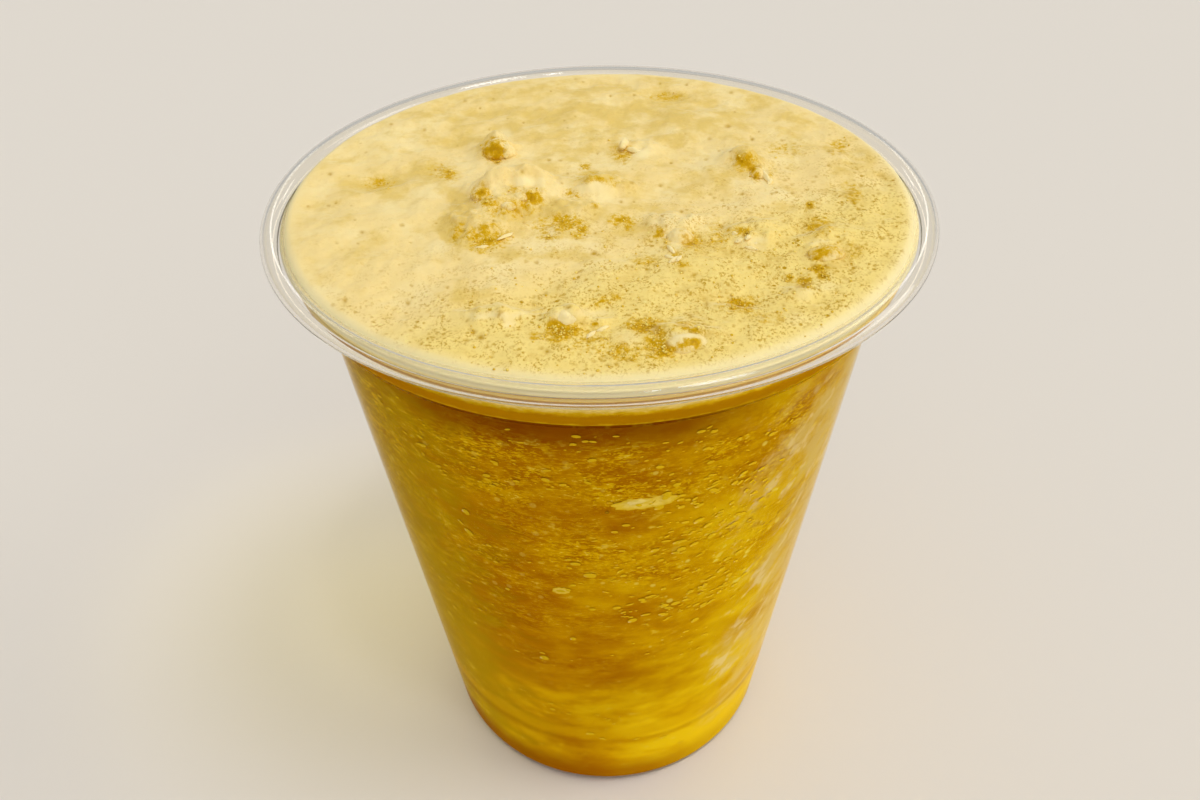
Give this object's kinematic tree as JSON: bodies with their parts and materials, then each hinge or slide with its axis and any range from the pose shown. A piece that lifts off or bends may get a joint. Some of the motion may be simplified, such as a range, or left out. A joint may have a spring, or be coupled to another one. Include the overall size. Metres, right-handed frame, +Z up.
{
  "type": "cup of iced cappuccino",
  "caption": "Clear tapered plastic cup with a rolled rim, filled to the brim with golden brown blended iced coffee under a pale lumpy milk foam.",
  "frame": {"origin": "middle of the base, on the surface that the cup stands on", "axes": "+Z up along the cup's axis; +Y away from the picture's camera, +X to its right"},
  "size_m": [0.098, 0.098, 0.1125],
  "materials": {
    "clear_plastic": "clear, smooth and glossy",
    "iced_coffee": "golden brown coffee with fine ice, pressed against the clear wall",
    "milk_foam": "pale tan milk foam, fine bubbles, slightly moist"
  },
  "bodies": {
    "root": {"cup": "clear_plastic", "iced_coffee": "iced_coffee", "foam": "milk_foam"}
  },
  "joints": []
}
